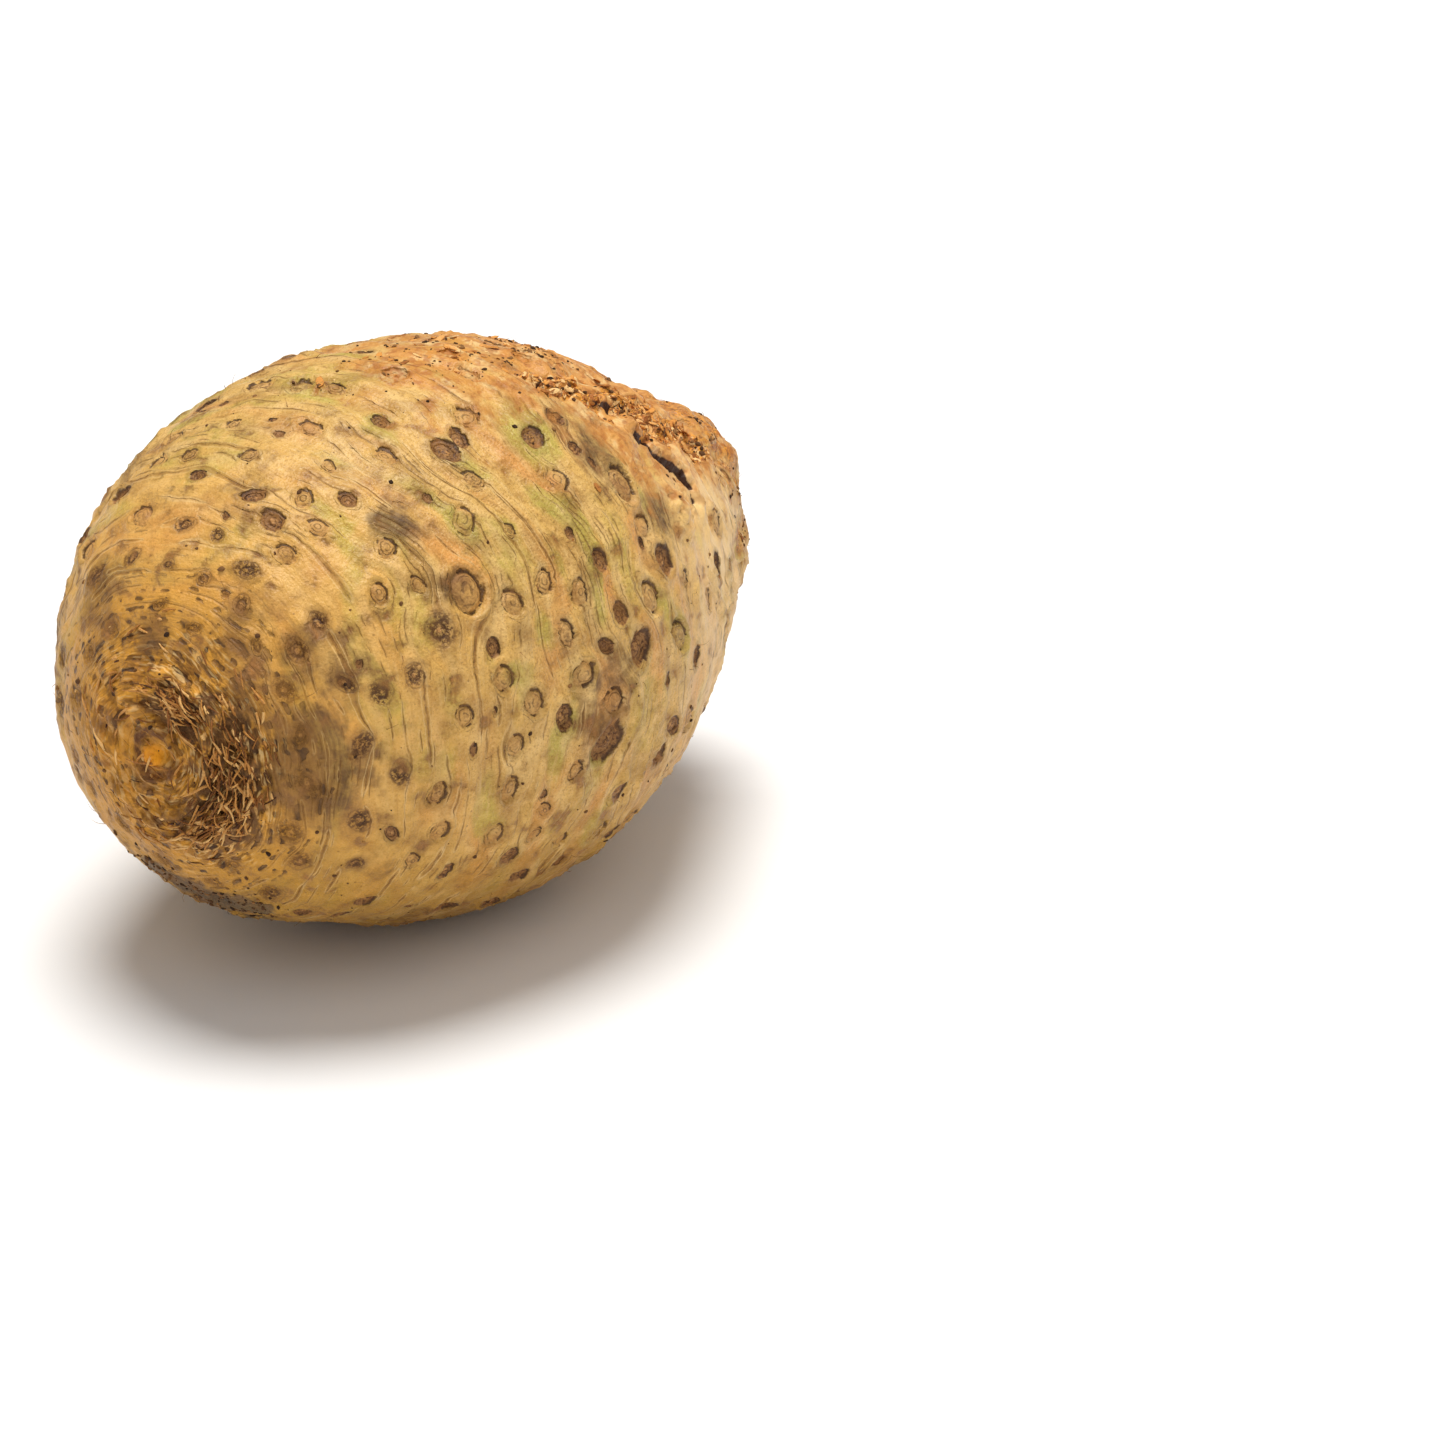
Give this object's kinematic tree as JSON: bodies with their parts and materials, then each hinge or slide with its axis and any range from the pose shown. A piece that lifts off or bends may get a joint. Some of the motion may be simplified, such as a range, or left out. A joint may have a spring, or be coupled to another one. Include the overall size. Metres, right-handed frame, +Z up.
{
  "type": "celeriac",
  "caption": "Whole celeriac lying on its side: an egg-shaped root with pitted leaf scars, a fibrous crown with its bud, and a rough trimmed root end. It rests on a small flat spot.",
  "frame": {"origin": "on the resting surface, under the middle of the root's box", "axes": "+X along the root's own axis from the bud to the root end, +Z up; the bud faces -X"},
  "size_m": [0.1838, 0.1228, 0.1197],
  "materials": {
    "skin": "dry, rough root skin in tan, green and brown, with dark scars"
  },
  "bodies": {
    "root": {"celeriac": "skin"}
  },
  "joints": []
}
